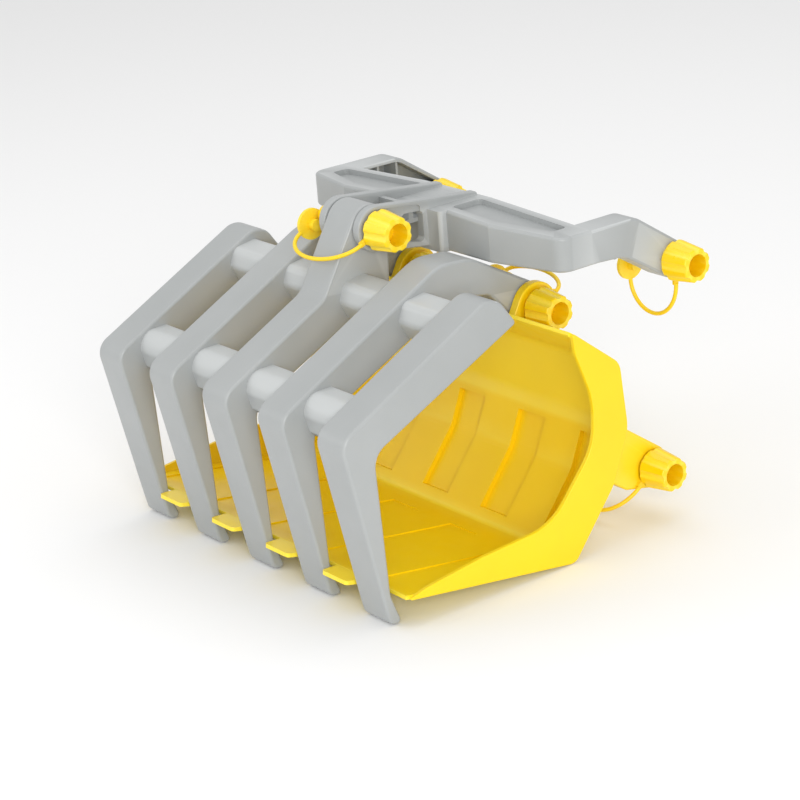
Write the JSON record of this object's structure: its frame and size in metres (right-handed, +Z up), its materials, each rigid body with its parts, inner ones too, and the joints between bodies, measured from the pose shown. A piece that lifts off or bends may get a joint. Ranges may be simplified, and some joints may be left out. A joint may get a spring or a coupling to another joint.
{
  "type": "toy grab bucket",
  "caption": "Toy grab bucket for a pedal tractor's loader: open bucket, hinged finger clamp, hinged yoke with loader arms, and tethered knob pins.",
  "frame": {"origin": "centre of the bounding box, at its bottom, on the floor", "axes": "+X runs across the fingers towards the knobs of the pins, +Y runs from the finger tips and open mouth to the loader brackets at the rear, +Z up"},
  "size_m": [0.3458, 0.3172, 0.2451],
  "materials": {
    "bucket_plastic": "semi-gloss moulded yellow plastic",
    "grey_plastic": "semi-gloss moulded light grey plastic",
    "pin_plastic": "semi-gloss moulded yellow plastic",
    "tether_plastic": "soft flexible yellow plastic"
  },
  "bodies": {
    "bucket": {"bucket_shell": "bucket_plastic", "side_plate_right": "bucket_plastic", "side_plate_left": "bucket_plastic", "front_teeth": "bucket_plastic", "pivot_ears_right": "bucket_plastic", "pivot_ears_left": "bucket_plastic", "rear_bracket_right": "bucket_plastic", "rear_bracket_left": "bucket_plastic", "tether_ear_right": "tether_plastic", "tether_ear_left": "tether_plastic", "tether_bracket_right": "tether_plastic", "tether_bracket_left": "tether_plastic"},
    "clamp": {"finger_1": "grey_plastic", "finger_2": "grey_plastic", "finger_3": "grey_plastic", "finger_4": "grey_plastic", "finger_5": "grey_plastic", "elbow_crossbars": "grey_plastic", "upper_crossbars": "grey_plastic", "pin_lug": "pin_plastic", "tether_lug": "tether_plastic"},
    "yoke": {"yoke_beam": "grey_plastic", "yoke_fork": "grey_plastic", "yoke_arm_right": "grey_plastic", "yoke_arm_left": "grey_plastic", "tether_arm_right": "tether_plastic", "tether_arm_left": "tether_plastic"},
    "ear_pin_right": {"pin_ear_right": "pin_plastic"},
    "ear_pin_left": {"pin_ear_left": "pin_plastic"},
    "arm_pin_right": {"pin_arm_right": "pin_plastic"},
    "arm_pin_left": {"pin_arm_left": "pin_plastic"},
    "bracket_pin_right": {"pin_bracket_right": "pin_plastic"},
    "bracket_pin_left": {"pin_bracket_left": "pin_plastic"}
  },
  "joints": [
    {"name": "clamp_open", "type": "hinge", "parent": "bucket", "child": "clamp", "pos_m": [0.0036, 0.06108, 0.16357], "axis": [-1, 0, 0], "range_deg": [0, 60]},
    {"name": "yoke_swing", "type": "hinge", "parent": "clamp", "child": "yoke", "pos_m": [0.0036, -0.02392, 0.22858], "axis": [1, 0, 0], "range_deg": [0, 110]},
    {"name": "ear_pin_right_turn", "type": "hinge", "parent": "bucket", "child": "ear_pin_right", "pos_m": [0.0836, 0.06108, 0.16357], "axis": [1, 0, 0], "continuous": true},
    {"name": "ear_pin_left_turn", "type": "hinge", "parent": "bucket", "child": "ear_pin_left", "pos_m": [-0.0524, 0.06108, 0.16357], "axis": [1, 0, 0], "continuous": true},
    {"name": "arm_pin_right_turn", "type": "hinge", "parent": "yoke", "child": "arm_pin_right", "pos_m": [0.1376, 0.14408, 0.18857], "axis": [1, 0, 0], "continuous": true},
    {"name": "arm_pin_left_turn", "type": "hinge", "parent": "yoke", "child": "arm_pin_left", "pos_m": [-0.1304, 0.14408, 0.18857], "axis": [1, 0, 0], "continuous": true},
    {"name": "bracket_pin_right_turn", "type": "hinge", "parent": "bucket", "child": "bracket_pin_right", "pos_m": [0.1376, 0.11908, 0.03658], "axis": [1, 0, 0], "continuous": true},
    {"name": "bracket_pin_left_turn", "type": "hinge", "parent": "bucket", "child": "bracket_pin_left", "pos_m": [-0.1304, 0.11908, 0.03658], "axis": [1, 0, 0], "continuous": true}
  ]
}
